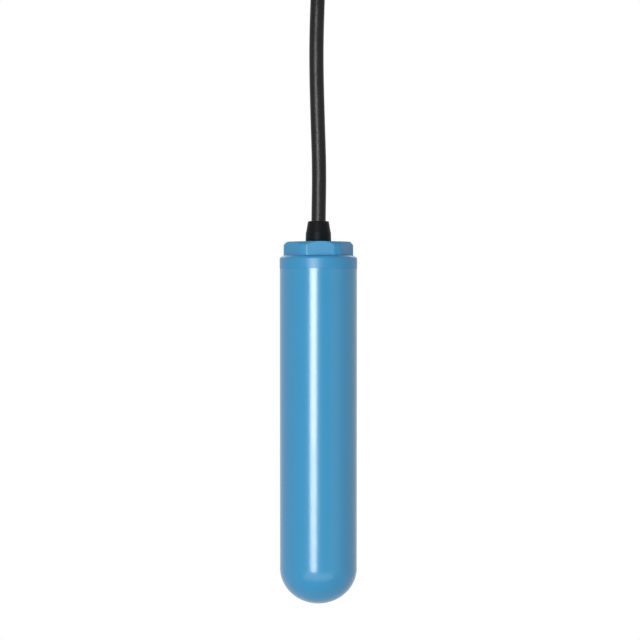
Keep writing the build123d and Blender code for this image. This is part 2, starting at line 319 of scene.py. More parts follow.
# The same plastic from a spark-eroded tool: satin on the flange, more matt on the hexagon.
CAP_PLASTIC = StruckCap(
    name="blue_polypropylene_eroded_mould",
    colour="#2E8AB9",
    shade="#2B86B5",
    roughness=(0.36, 0.4),
    patch_mm=9.0,
    grain_mm=0.28,
    grain_depth_mm=0.004,
    wave_mm=5.0,
    wave_depth_mm=0.004,
)
# Moulded chloroprene rubber: black with a faint grey bloom, matt, fine pores.
PROTECTOR_RUBBER = Finish(
    name="black_moulded_rubber",
    colour="#0B0D0F",
    shade="#07080A",
    roughness=(0.42, 0.52),
    patch_mm=2.5,
    grain_mm=0.22,
    grain_depth_mm=0.006,
    specular=0.1,
)
# Nitrile rubber of seal and bumper: denser and smoother than the protector.
SEAL_RUBBER = Finish(
    name="black_nitrile_rubber",
    colour="#1B1B1C",
    shade="#131314",
    roughness=(0.35, 0.45),
    patch_mm=3.0,
    grain_mm=0.3,
    grain_depth_mm=0.004,
)
# Extruded soft PVC sheath: satin black, cores pressing through. Its die lines run along it, so
# they spread a highlight round the sheath but hardly along it.
CABLE_SHEATH = LaidSheath(
    name="black_pvc_extruded_sheath",
    colour="#06070A",
    shade="#040506",
    roughness=(0.23, 0.27),
    patch_mm=5.0,
    grain_mm=0.35,
    grain_depth_mm=0.002,
    grain=Grain.UPRIGHT,
    specular=0.19,
    anisotropy=0.95,
)
# Zinc-plated steel ring, crimped: dull metal with tool marks round it.
CRIMP_STEEL = Finish(
    name="zinc_plated_steel_crimped",
    colour="#B9BABC",
    shade="#A3A5A8",
    roughness=(0.28, 0.42),
    patch_mm=2.0,
    grain_mm=0.18,
    grain_depth_mm=0.006,
    grain=Grain.RINGS,
    metallic=1.0,
)
# Poured polyurethane: dark amber-black, glossy, with a slow uneven face.
CAST_RESIN = MouldedShell(
    name="dark_polyurethane_poured",
    colour="#2A2723",
    shade="#1F1D1A",
    roughness=(0.18, 0.3),
    patch_mm=6.0,
    grain_mm=1.2,
    grain_depth_mm=0.01,
    wave_mm=7.0,
    wave_depth_mm=0.03,
)
# Natural ABS of the carrier: creamy white, lightly eroded mould finish.
CARRIER_PLASTIC = MouldedShell(
    name="natural_abs_moulded",
    colour="#DDD9CC",
    shade="#D2CDBE",
    roughness=(0.38, 0.48),
    patch_mm=11.0,
    grain_mm=0.35,
    grain_depth_mm=0.005,
    wave_mm=8.0,
    wave_depth_mm=0.008,
)
# Hardened bearing steel, lapped: a near mirror with the faintest haze.
BALL_STEEL = Finish(
    name="bearing_steel_lapped",
    colour="#CFD0D2",
    shade="#C4C6C9",
    roughness=(0.05, 0.11),
    patch_mm=3.0,
    grain_mm=0.25,
    grain_depth_mm=0.0004,
    metallic=1.0,
)
# Black phenolic of the switch's base: hard, low sheen, faint flow marks.
SWITCH_PHENOLIC = Finish(
    name="black_phenolic_moulded",
    colour="#222120",
    shade="#191818",
    roughness=(0.3, 0.4),
    patch_mm=2.4,
    grain_mm=0.2,
    grain_depth_mm=0.004,
)
# Brick-red thermoset of the switch's cover.
COVER_PLASTIC = Finish(
    name="red_thermoset_moulded",
    colour="#8E2F26",
    shade="#7E2820",
    roughness=(0.34, 0.44),
    patch_mm=2.4,
    grain_mm=0.2,
    grain_depth_mm=0.004,
)
# Rolled stainless spring strip and drawn pin: fine marks along the strip.
SPRING_STEEL = Finish(
    name="stainless_spring_strip_rolled",
    colour="#C6C6C4",
    shade="#B2B2AF",
    roughness=(0.2, 0.3),
    patch_mm=1.8,
    grain_mm=0.12,
    grain_depth_mm=0.003,
    grain=Grain.SIDEWAYS,
    metallic=1.0,
)
# Natural acetal button of the switch: milky, slippery sheen.
PLUNGER_ACETAL = Finish(
    name="natural_acetal_moulded",
    colour="#E9E7DF",
    shade="#E0DDD2",
    roughness=(0.25, 0.34),
    patch_mm=0.8,
    grain_mm=0.15,
    grain_depth_mm=0.002,
)
# Heat-shrunk polyolefin sleeve: black, satin, shrunk into faint lengthwise creases.
SHRINK_SLEEVE = Finish(
    name="black_polyolefin_shrunk",
    colour="#202020",
    shade="#171717",
    roughness=(0.35, 0.5),
    patch_mm=1.5,
    grain_mm=0.3,
    grain_depth_mm=0.012,
    grain=Grain.UPRIGHT,
)
# Tin-plated copper ferrule: soft bright metal with a mottled plating.
TINNED_COPPER = Finish(
    name="tinned_copper_drawn",
    colour="#D3D3CF",
    shade="#BDBDB8",
    roughness=(0.22, 0.36),
    patch_mm=0.7,
    grain_mm=0.1,
    grain_depth_mm=0.002,
    metallic=1.0,
)
# Stamped brass lugs, slightly tarnished towards the joint.
TERMINAL_BRASS = Finish(
    name="brass_strip_stamped",
    colour="#D0AC5C",
    shade="#B08E45",
    roughness=(0.25, 0.38),
    patch_mm=0.9,
    grain_mm=0.12,
    grain_depth_mm=0.003,
    grain=Grain.UPRIGHT,
    metallic=1.0,
)


def core_insulation(name: str, colour: str, shade: str) -> Finish:
    """Extruded PVC insulation of one core: satin, with faint die lines along it.

    Args:
        name: the core's colour in a word.
        colour: its sRGB colour.
        shade: its darker tone.

    Returns:
        The finish.
    """
    return Finish(
        name=f"{name}_pvc_core_insulation",
        colour=colour,
        shade=shade,
        roughness=(0.3, 0.38),
        patch_mm=2.2,
        grain_mm=0.15,
        grain_depth_mm=0.003,
        grain=Grain.UPRIGHT,
    )


CORE_FINISHES = {
    "brown": core_insulation("brown", "#6A4227", "#5C3820"),
    "blue": core_insulation("blue", "#1F5FAE", "#1A549C"),
    "black": core_insulation("black", "#212122", "#181819"),
}


def rounded_outline(corners: Sequence[Triple], support_mm: float = 0.12) -> np.ndarray:
    """Corners joined by straight runs, with an arc tangent to both runs at each rounded corner.

    The arc starts its radius times the tangent of half the turn before the corner. A support
    point lies just outside each end of an arc, so that the flat beside it shades flat.

    Args:
        corners: radius, height and rounding of each corner, in millimetres.
        support_mm: how far the support points lie from the arc.

    Returns:
        Radius and height of each point, in millimetres, one row a point.
    """
    places = np.array([corner[:2] for corner in corners])
    parts = [places[:1]]
    for index in range(1, len(corners) - 1):
        rounding = corners[index][2]
        if rounding <= 0:
            parts.append(places[index : index + 1])
            continue
        run_in = places[index] - places[index - 1]
        run_out = places[index + 1] - places[index]
        ahead = run_in / np.hypot(*run_in)
        after = run_out / np.hypot(*run_out)
        turn = math.atan2(ahead[0] * after[1] - ahead[1] * after[0], float(ahead @ after))
        cut = rounding * math.tan(abs(turn) / 2)
        side = np.array([-ahead[1], ahead[0]]) * math.copysign(1, turn)
        start = places[index] - ahead * cut
        centre = start + side * rounding
        chord_step = 2 * math.acos(1 - min(ARC_ERROR_MM / rounding, 1))
        step = float(np.clip(chord_step, *np.radians(ARC_STEPS_DEG)))
        turns = np.linspace(0, turn, math.ceil(abs(turn) / step) + 1)
        spoke = start - centre
        arc = centre + np.stack(
            [
                spoke[0] * np.cos(turns) - spoke[1] * np.sin(turns),
                spoke[0] * np.sin(turns) + spoke[1] * np.cos(turns),
            ],
            axis=1,
        )
        if np.hypot(*run_in) > cut + 2 * support_mm:
            parts.append((start - ahead * support_mm)[None])
        parts.append(arc)
        if np.hypot(*run_out) > cut + 2 * support_mm:
            parts.append((arc[-1] + after * support_mm)[None])
    parts.append(places[-1:])
    points = np.concatenate(parts)
    steps = np.hypot(*np.diff(points, axis=0).T)
    return points[np.concatenate([[True], steps > 1e-4])]


def oval_outline(
    radius: float, level: float, depth: float, steps: int = 56, support_mm: float = 0.4
) -> np.ndarray:
    """Half a flattened ball below a level, from its foot on the axis out to its full radius.

    With the angle t from the foot, the radius is the full one times sin t, and the height is
    the level less the depth times cos t. A support point stands just above the last one.

    Args:
        radius: the full radius, in millimetres.
        level: the height where it is reached.
        depth: how far the foot lies below that.
        steps: how many points the quarter turn has.
        support_mm: how far above the last point the support point stands.

    Returns:
        Radius and height of each point, one row a point.
    """
    turn = np.linspace(0, math.pi / 2, steps)
    quarter = np.stack([radius * np.sin(turn), level - depth * np.cos(turn)], axis=1)
    return np.concatenate([quarter, [(radius, level + support_mm)]])


def turned_grid(radii: np.ndarray, heights: np.ndarray, angles: np.ndarray) -> np.ndarray:
    """Points of a turned surface: x is radius times cosine, y radius times sine of the angle.

    Args:
        radii: radius of each row, or of each row and column, in millimetres.
        heights: height of each row, or of each row and column, in millimetres.
        angles: angle of each column.

    Returns:
        Grid of points in metres, rows by columns by three.
    """
    shape = (len(radii), len(angles))
    radius = np.broadcast_to(radii if radii.ndim == 2 else radii[:, None], shape)
    height = np.broadcast_to(heights if heights.ndim == 2 else heights[:, None], shape)
    return MM * np.stack([radius * np.cos(angles), radius * np.sin(angles), height], axis=2)


def full_turn(columns: int) -> np.ndarray:
    """Evenly spaced angles once round, without the repeated last one."""
    return np.arange(columns) * 2 * math.pi / columns


def grid_faces(grid: np.ndarray, joined: bool) -> tuple[np.ndarray, np.ndarray]:
    """Faces of one grid whose columns go once round.

    Each face runs from a row to the next and from a column to the next, so it looks outwards
    where the rows run over the top, down the outside and back below.

    Args:
        grid: the points, rows by columns by three.
        joined: whether the last row meets the first; otherwise both are single points, the poles.

    Returns:
        Four-cornered faces and three-cornered faces, as point numbers.
    """
    rows, columns = grid.shape[:2]
    number = np.arange(rows * columns).reshape(rows, columns)
    beside = np.roll(number, -1, axis=1)
    if joined:
        number, beside = (np.vstack([part, part[:1]]) for part in (number, beside))
        quads = np.stack([number[:-1], number[1:], beside[1:], beside[:-1]], axis=2)
        return quads.reshape(-1, 4), np.zeros((0, 3), int)
    inner = slice(1, -1)
    quads = np.stack(
        [number[inner][:-1], number[inner][1:], beside[inner][1:], beside[inner][:-1]], axis=2
    )
    first = np.stack([np.full(columns, number[0, 0]), number[1], beside[1]], axis=1)
    last = np.stack([number[-2], np.full(columns, number[-1, 0]), beside[-2]], axis=1)
    return quads.reshape(-1, 4), np.vstack([first, last])


def make_piece(name: str, grids: Iterable[np.ndarray], joined: bool) -> bpy.types.Object:
    """Put grids of points into one smooth mesh with crisp corners.

    Args:
        name: the piece's name.
        grids: one grid of points in metres for each closed surface.
        joined: whether each grid's last row meets its first.

    Returns:
        The new object, at the origin.
    """
    points: list[np.ndarray] = []
    faces: list[list[int]] = []
    count = 0
    for grid in grids:
        quads, triangles = grid_faces(grid, joined)
        corners = np.concatenate([quads.ravel(), triangles.ravel()])
        used, compact = np.unique(corners, return_inverse=True)
        compact = compact.reshape(-1) + count
        faces += compact[: quads.size].reshape(-1, 4).tolist()
        faces += compact[quads.size :].reshape(-1, 3).tolist()
        points.append(grid.reshape(-1, 3)[used])
        count += len(used)
    mesh = bpy.data.meshes.new(name)
    mesh.from_pydata(np.concatenate(points), [], faces)
    mesh.shade_smooth()
    mesh.set_sharp_from_angle(angle=math.radians(CRISP_ANGLE_DEG))
    piece = bpy.data.objects.new(name, mesh)
    bpy.context.scene.collection.objects.link(piece)
    return piece


def dress(piece: bpy.types.Object, finish: Finish, slot: str, *nodes: str) -> None:
    """Give a new piece of the float its material and the CAD nodes that it stands for.

    Args:
        piece: the new piece.
        finish: its finish.
        slot: not used.
        nodes: the CAD nodes that it replaces.
    """
    piece.data.materials.append(finish.material())
    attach(piece, "float")
    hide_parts(*nodes)
    LOG.info("%s: stands for %s", piece.name, ", ".join(nodes))


def smooth_least(first: np.ndarray, second: np.ndarray, blend: float) -> np.ndarray:
    """The smaller of two values, eased where they differ by less than the blend.

    Half the blend's shortfall, squared and divided by the blend, is taken off the smaller one.

    Args:
        first: one value.
        second: the other value.
        blend: width of the eased stretch.

    Returns:
        The eased smaller value.
    """
    near = np.maximum(blend - np.abs(first - second), 0)
    return np.minimum(first, second) - near**2 / (4 * blend)


@dataclass
class FloatShell:
    """The moulded float: slightly drafted tube with a round nose, open at its mouth."""

    mouth_level: float = -123.1
    spigot_level: float = -136.5
    nose_top: float = -235.4
    nose_depth: float = 13.3
    wall: float = 2.0
    mouth_radius: float = 14.5
    nose_radius: float = 14.4
    mouth_chamfer: float = 0.05
    rib_foot_radius: float = 9.4
    rib_top: float = -213.27
    rib_half_width: float = 0.7
    rib_count: int = 4
    rib_rows: int = 48
    rib_sink: float = 0.05
    columns: int = 288
    # Corners of a rib's section: side in half widths, and share of the way out to the bore.
    rib_section: tuple[tuple[float, float], ...] = (
        (-1.0, 0.5),
        (-1.0, 0.03),
        (-0.75, 0.0),
        (0.0, 0.0),
        (0.75, 0.0),
        (1.0, 0.03),
        (1.0, 0.5),
        (1.0, 1.0),
        (0.0, 1.0),
        (-1.0, 1.0),
    )

    def shell(self) -> bpy.types.Object:
        """One outline turned about Z: up the bore from its pole, over the mouth and down outside.

        Returns:
            The shell.
        """
        inner = self.nose_radius - self.wall
        bore = oval_outline(inner, self.nose_top, self.nose_depth - self.wall)
        nose = oval_outline(self.nose_radius, self.nose_top, self.nose_depth)
        mouth_bore = self.mouth_radius - self.wall
        mouth = [
            (mouth_bore, self.spigot_level),
            (mouth_bore, self.mouth_level),
            (self.mouth_radius - self.mouth_chamfer, self.mouth_level),
            (self.mouth_radius, self.mouth_level - self.mouth_chamfer),
        ]
        outline = np.concatenate([bore, mouth, nose[::-1]])
        grid = turned_grid(outline[:, 0], outline[:, 1], full_turn(self.columns))
        return make_piece("float_shell", [grid], joined=False)

    def rib(self, turn: float) -> np.ndarray:
        """One rib: a rounded strip across, whose reach follows the bore down into the nose.

        The reach is the bore's radius, times the root of 1 less the squared share of the bore's
        depth below the nose's top.

        Args:
            turn: the rib's angle about Z.

        Returns:
            Its grid of points, with a pole at each end.
        """
        bore_radius = self.nose_radius - self.wall
        bore_depth = self.nose_depth - self.wall
        deepest = bore_depth * math.sqrt(1 - (self.rib_foot_radius / bore_radius) ** 2)
        level = np.linspace(self.rib_top, self.nose_top - deepest + self.rib_sink, self.rib_rows)
        share = np.clip(self.nose_top - level, 0, None) / bore_depth
        reach = bore_radius * np.sqrt(1 - share**2) + self.rib_sink
        across, out = np.array(self.rib_section).T
        across = across * self.rib_half_width
        radius = self.rib_foot_radius + out * (reach - self.rib_foot_radius)[:, None]
        side = np.broadcast_to(across, radius.shape)
        x = radius * math.cos(turn) - side * math.sin(turn)
        y = radius * math.sin(turn) + side * math.cos(turn)
        z = np.broadcast_to(level[:, None], radius.shape)
        rings = MM * np.stack([x, y, z], axis=2)
        poles = rings[[0, -1]].mean(axis=1, keepdims=True) * np.ones((1, len(across), 1))
        return np.concatenate([poles[:1], rings, poles[1:]])

    def build(self) -> None:
        """Make the shell and the ribs inside its nose."""
        dress(self.shell(), TUBE_PLASTIC, "blue_polypropylene", "float_body")
        turns = (np.arange(self.rib_count) + 0.5) * 2 * math.pi / self.rib_count
        ribs = make_piece("float_ribs", [self.rib(float(turn)) for turn in turns], joined=False)
        dress(ribs, TUBE_PLASTIC, "blue_polypropylene", "float_body")


@dataclass
class HexagonCap:
    """The moulded cap: chamfered hexagon, round flange, spigot with a seal groove."""

    top: float = -113.1
    flange_top: float = -118.3
    joint_level: float = -123.1
    spigot_end: float = -136.5
    across_flats: float = 24.0
    corner_radius: float = 13.056
    turn_deg: float = 3.8
    chamfer_width: float = 1.0
    chamfer_height: float = 1.2
    flange_radius: float = 14.55
    flange_rounding: float = 1.4
    joint_chamfer: float = 0.05
    spigot_chamfer: float = 0.2
    spigot_radius: float = 12.45
    groove_radius: float = 11.25
    groove_top: float = -125.1
    groove_foot: float = -127.1
    cup_radius: float = 10.25
    cup_roof: float = -119.1
    gland_radius: float = 4.05
    crease: float = 0.16
    least_chamfer: float = 0.01
    # The lid's outline runs this share of the crease down the chamfer, to turn its edge.
    lid_share: float = 0.4
    flange_inset: float = 0.02
    top_rounding: float = 0.12
    groove_rounding: float = 0.1
    cup_mouth_rounding: float = 0.2
    cup_roof_rounding: float = 0.3
    columns: int = 600
    cone_rows: int = 16
    # Rows down a flat below the crease, as shares of the way down: close together at first.
    flat_rows: tuple[float, ...] = (0.004, 0.01, 0.018, 0.028, 0.045, 0.08)
    even_flat_rows: int = 6

    def wall(self, angles: np.ndarray) -> np.ndarray:
        """Radius of the hexagon's wall: a flat's half width over the cosine of the angle from its
        middle, and no more than the radius of its trimmed corners.

        Args:
            angles: angle of each column.

        Returns:
            The wall's radius at each angle.
        """
        from_corner = angles - math.radians(self.turn_deg) + math.pi / 2 + math.pi / 6
        from_middle = from_corner % (math.pi / 3)
        flat = self.across_flats / 2 / np.cos(from_middle - math.pi / 6)
        return smooth_least(flat, np.full_like(flat, self.corner_radius), self.crease)

    def collar(self, angles: np.ndarray) -> tuple[np.ndarray, np.ndarray]:
        """Rows of the hexagon, from its chamfer's top edge to its foot.

        The chamfer is a cone. It meets the wall at the height where both are as wide, so each
        column has rows down the cone to that crease and rows down the wall from it.

        Args:
            angles: angle of each column.

        Returns:
            Radii and heights, rows by columns.
        """
        wall = self.wall(angles)
        slope = self.chamfer_height / self.chamfer_width
        rim = self.corner_radius - self.chamfer_width
        start = self.top - self.crease * slope / 2
        crease = np.minimum(self.top - (wall - rim) * slope, start - self.least_chamfer)
        down_cone = np.linspace(0, 1, self.cone_rows)[:, None]
        even = np.linspace(0.15, 0.97, self.even_flat_rows)
        down_flat = np.concatenate([self.flat_rows, even, [1.0]])[:, None]
        heights = np.concatenate(
            [start + down_cone * (crease - start), crease + down_flat * (self.flange_top - crease)]
        )
        cone = rim + (self.top - heights) / slope
        cone = np.minimum(cone, 2 * self.corner_radius)
        return smooth_least(cone, wall[None], self.crease), heights

    def shell(self) -> bpy.types.Object:
        """The whole cap as one closed ring of rows round its bore.

        Returns:
            The cap.
        """
        angles = full_turn(self.columns)
        radii, heights = self.collar(angles)
        slope = self.chamfer_height / self.chamfer_width
        rim = self.corner_radius - self.chamfer_width
        run = self.lid_share * self.crease
        lid = rounded_outline(
            [
                (self.gland_radius, self.top, 0.0),
                (rim, self.top, self.top_rounding),
                (rim + run, self.top - run * slope, 0.0),
            ]
        )[:-1]
        flat_end = self.flange_radius - self.flange_rounding - self.flange_inset
        rest = rounded_outline(
            [
                (flat_end, self.flange_top, 0.0),
                (self.flange_radius, self.flange_top, self.flange_rounding),
                (self.flange_radius, self.joint_level + self.joint_chamfer, 0.0),
                (self.flange_radius - self.joint_chamfer, self.joint_level, 0.0),
                (self.spigot_radius, self.joint_level, 0.0),
                (self.spigot_radius, self.groove_top, self.groove_rounding),
                (self.groove_radius, self.groove_top, self.groove_rounding),
                (self.groove_radius, self.groove_foot, self.groove_rounding),
                (self.spigot_radius, self.groove_foot, self.groove_rounding),
                (self.spigot_radius, self.spigot_end + self.spigot_chamfer, 0.0),
                (self.spigot_radius - self.spigot_chamfer, self.spigot_end, 0.0),
                (self.cup_radius, self.spigot_end, self.cup_mouth_rounding),
                (self.cup_radius, self.cup_roof, self.cup_roof_rounding),
                (self.gland_radius, self.cup_roof, 0.0),
            ]
        )
        held_in = smooth_least(lid[:, :1], self.wall(angles)[None], self.crease)
        above = turned_grid(held_in, np.broadcast_to(lid[:, 1:], held_in.shape), angles)
        below = turned_grid(rest[:, 0], rest[:, 1], angles)
        grid = np.concatenate([above, turned_grid(radii, heights, angles), below])
        return make_piece("hexagon_cap", [grid], joined=True)

    def build(self) -> None:
        """Make the cap."""
        dress(self.shell(), CAP_PLASTIC, "blue_polypropylene", "end_cap")


@dataclass
class BendProtector:
    """The rubber sleeve where the cable leaves: cone over a skirt, neck and inner flange."""

    top: float = -105.3
    skirt_top: float = -109.5
    base_top: float = -111.9
    collar_top: float = -113.1
    neck_foot: float = -119.1
    flange_foot: float = -121.1
    bore_radius: float = 2.7
    top_radius: float = 3.9
    waist_radius: float = 4.62
    skirt_radius: float = 4.7
    base_radius: float = 4.8
    neck_radius: float = 4.0
    flange_radius: float = 5.5
    bore_chamfer: float = 0.15
    bore_rounding: float = 0.1
    top_rounding: float = 0.5
    skirt_rounding: float = 0.03
    base_rounding: float = 0.3
    foot_rounding: float = 0.12
    flange_rounding: float = 0.2
    columns: int = 192

    def build(self) -> None:
        """Turn its outline about Z: over the top, down outside, back below and up the bore."""
        outline = rounded_outline(
            [
                (self.bore_radius, self.top - self.bore_chamfer, 0.0),
                (self.bore_radius + self.bore_chamfer, self.top, self.bore_rounding),
                (self.top_radius, self.top, self.top_rounding),
                (self.waist_radius, self.skirt_top, self.skirt_rounding),
                (self.skirt_radius, self.skirt_top, self.skirt_rounding),
                (self.base_radius, self.base_top, self.base_rounding),
                (self.base_radius, self.collar_top, self.foot_rounding),
                (self.neck_radius, self.collar_top, 0.0),
                (self.neck_radius, self.neck_foot, 0.0),
                (self.flange_radius, self.neck_foot, self.flange_rounding),
                (self.flange_radius, self.flange_foot, self.flange_rounding),
                (self.bore_radius, self.flange_foot, 0.0),
            ],
            support_mm=0.05,
        )
        grid = turned_grid(outline[:, 0], outline[:, 1], full_turn(self.columns))
        piece = make_piece("bend_sleeve", [grid], joined=True)
        dress(piece, PROTECTOR_RUBBER, "black_rubber", "bend_protector")


@dataclass
class CoreEnds:
    """The stripped, ferruled cores that stand out of the sheath's outer end."""

    sheath_end: float = 5.5
    core_top: float = 21.5
    ferrule_top: float = 29.5
    core_radius: float = 0.95
    spacing_radius: float = 1.1547
    ferrule_radius: float = 0.75
    lip_radius: float = 0.9
    lip_height: float = 0.8
    crimp_depth: float = 0.09
    crimp_margins: tuple[float, float] = (1.8, 0.9)
    crimp_fade: float = 0.4
    tooth_pitch: float = 0.9
    tooth_share: float = 0.2
    tip_edge: float = 0.2
    edge_rounding: float = 0.08
    mouth_slope: float = 0.5
    mouth_rounding: float = 0.1
    # The crimped rows leave these margins at the mouth and at the tip.
    tube_margins: tuple[float, float] = (0.8, 0.4)
    tube_rows: int = 60
    core_inset: float = 0.3
    core_rounding: float = 0.12
    columns: int = 64

    def places(self) -> dict[str, np.ndarray]:
        """Where each core stands, by the name of its colour."""
        angles = np.radians([210.0, 90.0, 330.0])
        ring = np.stack([np.cos(angles), np.sin(angles), 0 * angles], axis=1)
        spots = MM * self.spacing_radius * ring
        return dict(zip(CORE_FINISHES, spots))

    def ferrule(self) -> np.ndarray:
        """A sleeve with a bell mouth, pressed in on four sides.

        The crimp takes off the radius a share that follows the cosine of four times the angle,
        faded in and out along the sleeve and rippled by the tool's teeth.

        Returns:
            Grid of points about the origin, with a pole at each end.
        """
        angles = full_turn(self.columns)
        tip, foot = self.ferrule_top, self.core_top + self.lip_height
        outline = rounded_outline(
            [
                (0.0, tip, 0.0),
                (self.ferrule_radius - self.tip_edge, tip, self.edge_rounding),
                (self.ferrule_radius, tip - self.tip_edge, self.edge_rounding),
                (self.ferrule_radius, foot + self.mouth_slope, self.mouth_rounding),
                (self.lip_radius, foot, self.mouth_rounding),
                (self.lip_radius, self.core_top, self.edge_rounding),
                (0.0, self.core_top, 0.0),
            ],
            support_mm=0.05,
        )
        mouth_margin, tip_margin = self.tube_margins
        long = np.linspace(tip - tip_margin, foot + mouth_margin, self.tube_rows)
        tube = np.stack([np.full_like(long, self.ferrule_radius), long], axis=1)
        split = int(np.argmax(outline[:, 1] < tip - tip_margin))
        rows = np.concatenate([outline[:split], tube, outline[split:]])
        radii, heights = rows[:, :1], rows[:, 1:]
        low, high = self.core_top + self.crimp_margins[0], tip - self.crimp_margins[1]
        fade = np.clip((heights - low) / self.crimp_fade, 0, 1)
        fade = fade * np.clip((high - heights) / self.crimp_fade, 0, 1)
        ripple = np.cos(2 * math.pi * heights / self.tooth_pitch)
        teeth = 1 - self.tooth_share + self.tooth_share * ripple
        press = self.crimp_depth * fade * teeth * (0.5 + 0.5 * np.cos(4 * angles))
        return turned_grid(radii - press, np.broadcast_to(heights, press.shape), angles)

    def core(self) -> np.ndarray:
        """A core's plain cylinder, from just inside the sheath to the ferrule.

        Returns:
            Grid of points about the origin, with a pole at each end.
        """
        outline = rounded_outline(
            [
                (0.0, self.core_top, 0.0),
                (self.core_radius, self.core_top, self.core_rounding),
                (self.core_radius, self.sheath_end - self.core_inset, 0.0),
                (0.0, self.sheath_end - self.core_inset, 0.0),
            ],
            support_mm=0.05,
        )
        return turned_grid(outline[:, 0], outline[:, 1], full_turn(self.columns))

    def build(self) -> list[bpy.types.Object]:
        """Make the cores and their ferrules.

        Returns:
            The pieces that stand on the cable's end.
        """
        made = []
        core = self.core()
        for colour, spot in self.places().items():
            piece = make_piece(f"stripped_core_{colour}", [core + spot], joined=False)
            finish = CORE_FINISHES[colour]
            dress(piece, finish, f"{colour}_insulation", f"core_end_{colour}")
            made.append(piece)
        ferrule = self.ferrule()
        sleeves = [ferrule + spot for spot in self.places().values()]
        ferrules = make_piece("crimped_ferrules", sleeves, joined=False)
        dress(ferrules, TINNED_COPPER, "tinned_copper", "core_ferrules")
        return [*made, ferrules]


@dataclass
class HangingCable:
    """The round cable that the float hangs on, held taut from above the view."""

    diameter: float = 5.4
    exit_level: float = -105.3
    length: float = 131.6
    route: tuple[Triple, ...] = (
        (0.00, 0.0, -126.1),
        (0.00, 0.0, -106.0),
        (0.36, 0.0, -86.5),
        (-0.30, 0.0, -66.5),
        (-0.76, 0.0, -48.5),
        (-0.70, 0.0, -34.5),
        (0.00, 0.0, -14.5),
        (0.00, 0.0, 5.5),
    )
    steps_between_points: int = 24
    steps_round_quarter: int = 12

    def build(self, end_pieces: Sequence[bpy.types.Object]) -> None:
        """Args:
            end_pieces: not used.
        """
        line = bpy.data.curves.new("cable_sheath", "CURVE")
        line.dimensions = "3D"
        spline = line.splines.new("NURBS")
        spline.points.add(len(self.route) - 1)
        places = np.array([(x * MM, y * MM, z * MM, 1.0) for x, y, z in self.route])
        spline.points.foreach_set("co", places.ravel())
        spline.order_u = 3
        spline.use_endpoint_u = True
        spline.resolution_u = self.steps_between_points
        line.bevel_depth = self.diameter / 2 * MM
        line.bevel_resolution = self.steps_round_quarter
        line.use_fill_caps = True
        cable = bpy.data.objects.new("cable_sheath", line)
        bpy.context.scene.collection.objects.link(cable)
        dress(cable, CABLE_SHEATH, "black_cable_sheath", "cable")


@dataclass
class InnerWorks:
    """The CAD nodes inside the float, which keep their meshes and get their finishes."""

    def finishes(self) -> dict[str, Finish]:
        """Finish of each kept node, by the node's name."""
        kept = {
            "cap_seal": SEAL_RUBBER,
            "ball_bumper": SEAL_RUBBER,
            "cable_anchor_ring": CRIMP_STEEL,
            "potting_compound": CAST_RESIN,
            "carrier_front": CARRIER_PLASTIC,
            "carrier_back": CARRIER_PLASTIC,
            "steel_ball": BALL_STEEL,
            "switch_base": SWITCH_PHENOLIC,
            "switch_cover": COVER_PLASTIC,
            "switch_lever": SPRING_STEEL,
            "lever_pin": SPRING_STEEL,
            "switch_plunger": PLUNGER_ACETAL,
            "lead_sleeves": SHRINK_SLEEVE,
        }
        for colour, finish in CORE_FINISHES.items():
            kept[f"lead_{colour}"] = finish
            kept[f"terminal_{colour}"] = TERMINAL_BRASS
        return kept

    def build(self) -> None:
        """Assign each kept node its finish."""
        for name, finish in self.finishes().items():
            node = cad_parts[name]
            node.data.materials.clear()
            node.data.materials.append(finish.material())
            LOG.info("%s: keeps its CAD mesh, finished as %s", name, finish.name)


@dataclass(frozen=True)
class SoftLight:
    """A flat studio light that faces the float."""

    name: str
    azimuth_deg: float
    distance: float
    level: float
    aim_level: float
    width: float
    height: float
    power: float

    def build(self) -> None:
        """Place the light on its azimuth, counted from the camera's side towards the right."""
        data = bpy.data.lights.new(self.name, "AREA")
        data.shape = "RECTANGLE"
        data.size = self.width
        data.size_y = self.height
        data.energy = self.power
        light = bpy.data.objects.new(self.name, data)
        turn = math.radians(self.azimuth_deg)
        across, back = math.sin(turn), -math.cos(turn)
        light.location = (self.distance * across, self.distance * back, self.level)
        tilt = math.atan2(self.level - self.aim_level, self.distance)
        light.rotation_euler = (math.pi / 2 - tilt, 0.0, turn)
        bpy.context.scene.collection.objects.link(light)


# A tall strip left of the camera as key, brighter at the cable's height, weak fills at both sides
# and from below, and a light from behind for the back and the cap's top. Each row gives azimuth
# in degrees, then distance, level, level aimed at, width and height in metres, and watts.
LIGHTS = (
    SoftLight("strip_light", -14.4, 1.25, -0.225, -0.225, 0.4, 0.31, 6.3),
    SoftLight("cable_light", -14.4, 1.25, 0.025, 0.025, 0.4, 0.19, 5.5),
    SoftLight("left_fill", -60.0, 1.6, -0.1, -0.17, 2.2, 1.4, 0.5),
    SoftLight("right_fill", 52.0, 1.9, -0.15, -0.17, 1.2, 1.1, 1.5),
    SoftLight("bounce_light", 0.0, 0.9, -0.68, -0.24, 1.8, 0.5, 3.3),
    SoftLight("back_light", 180.0, 1.2, 0.55, -0.14, 1.8, 0.6, 9.0),
)


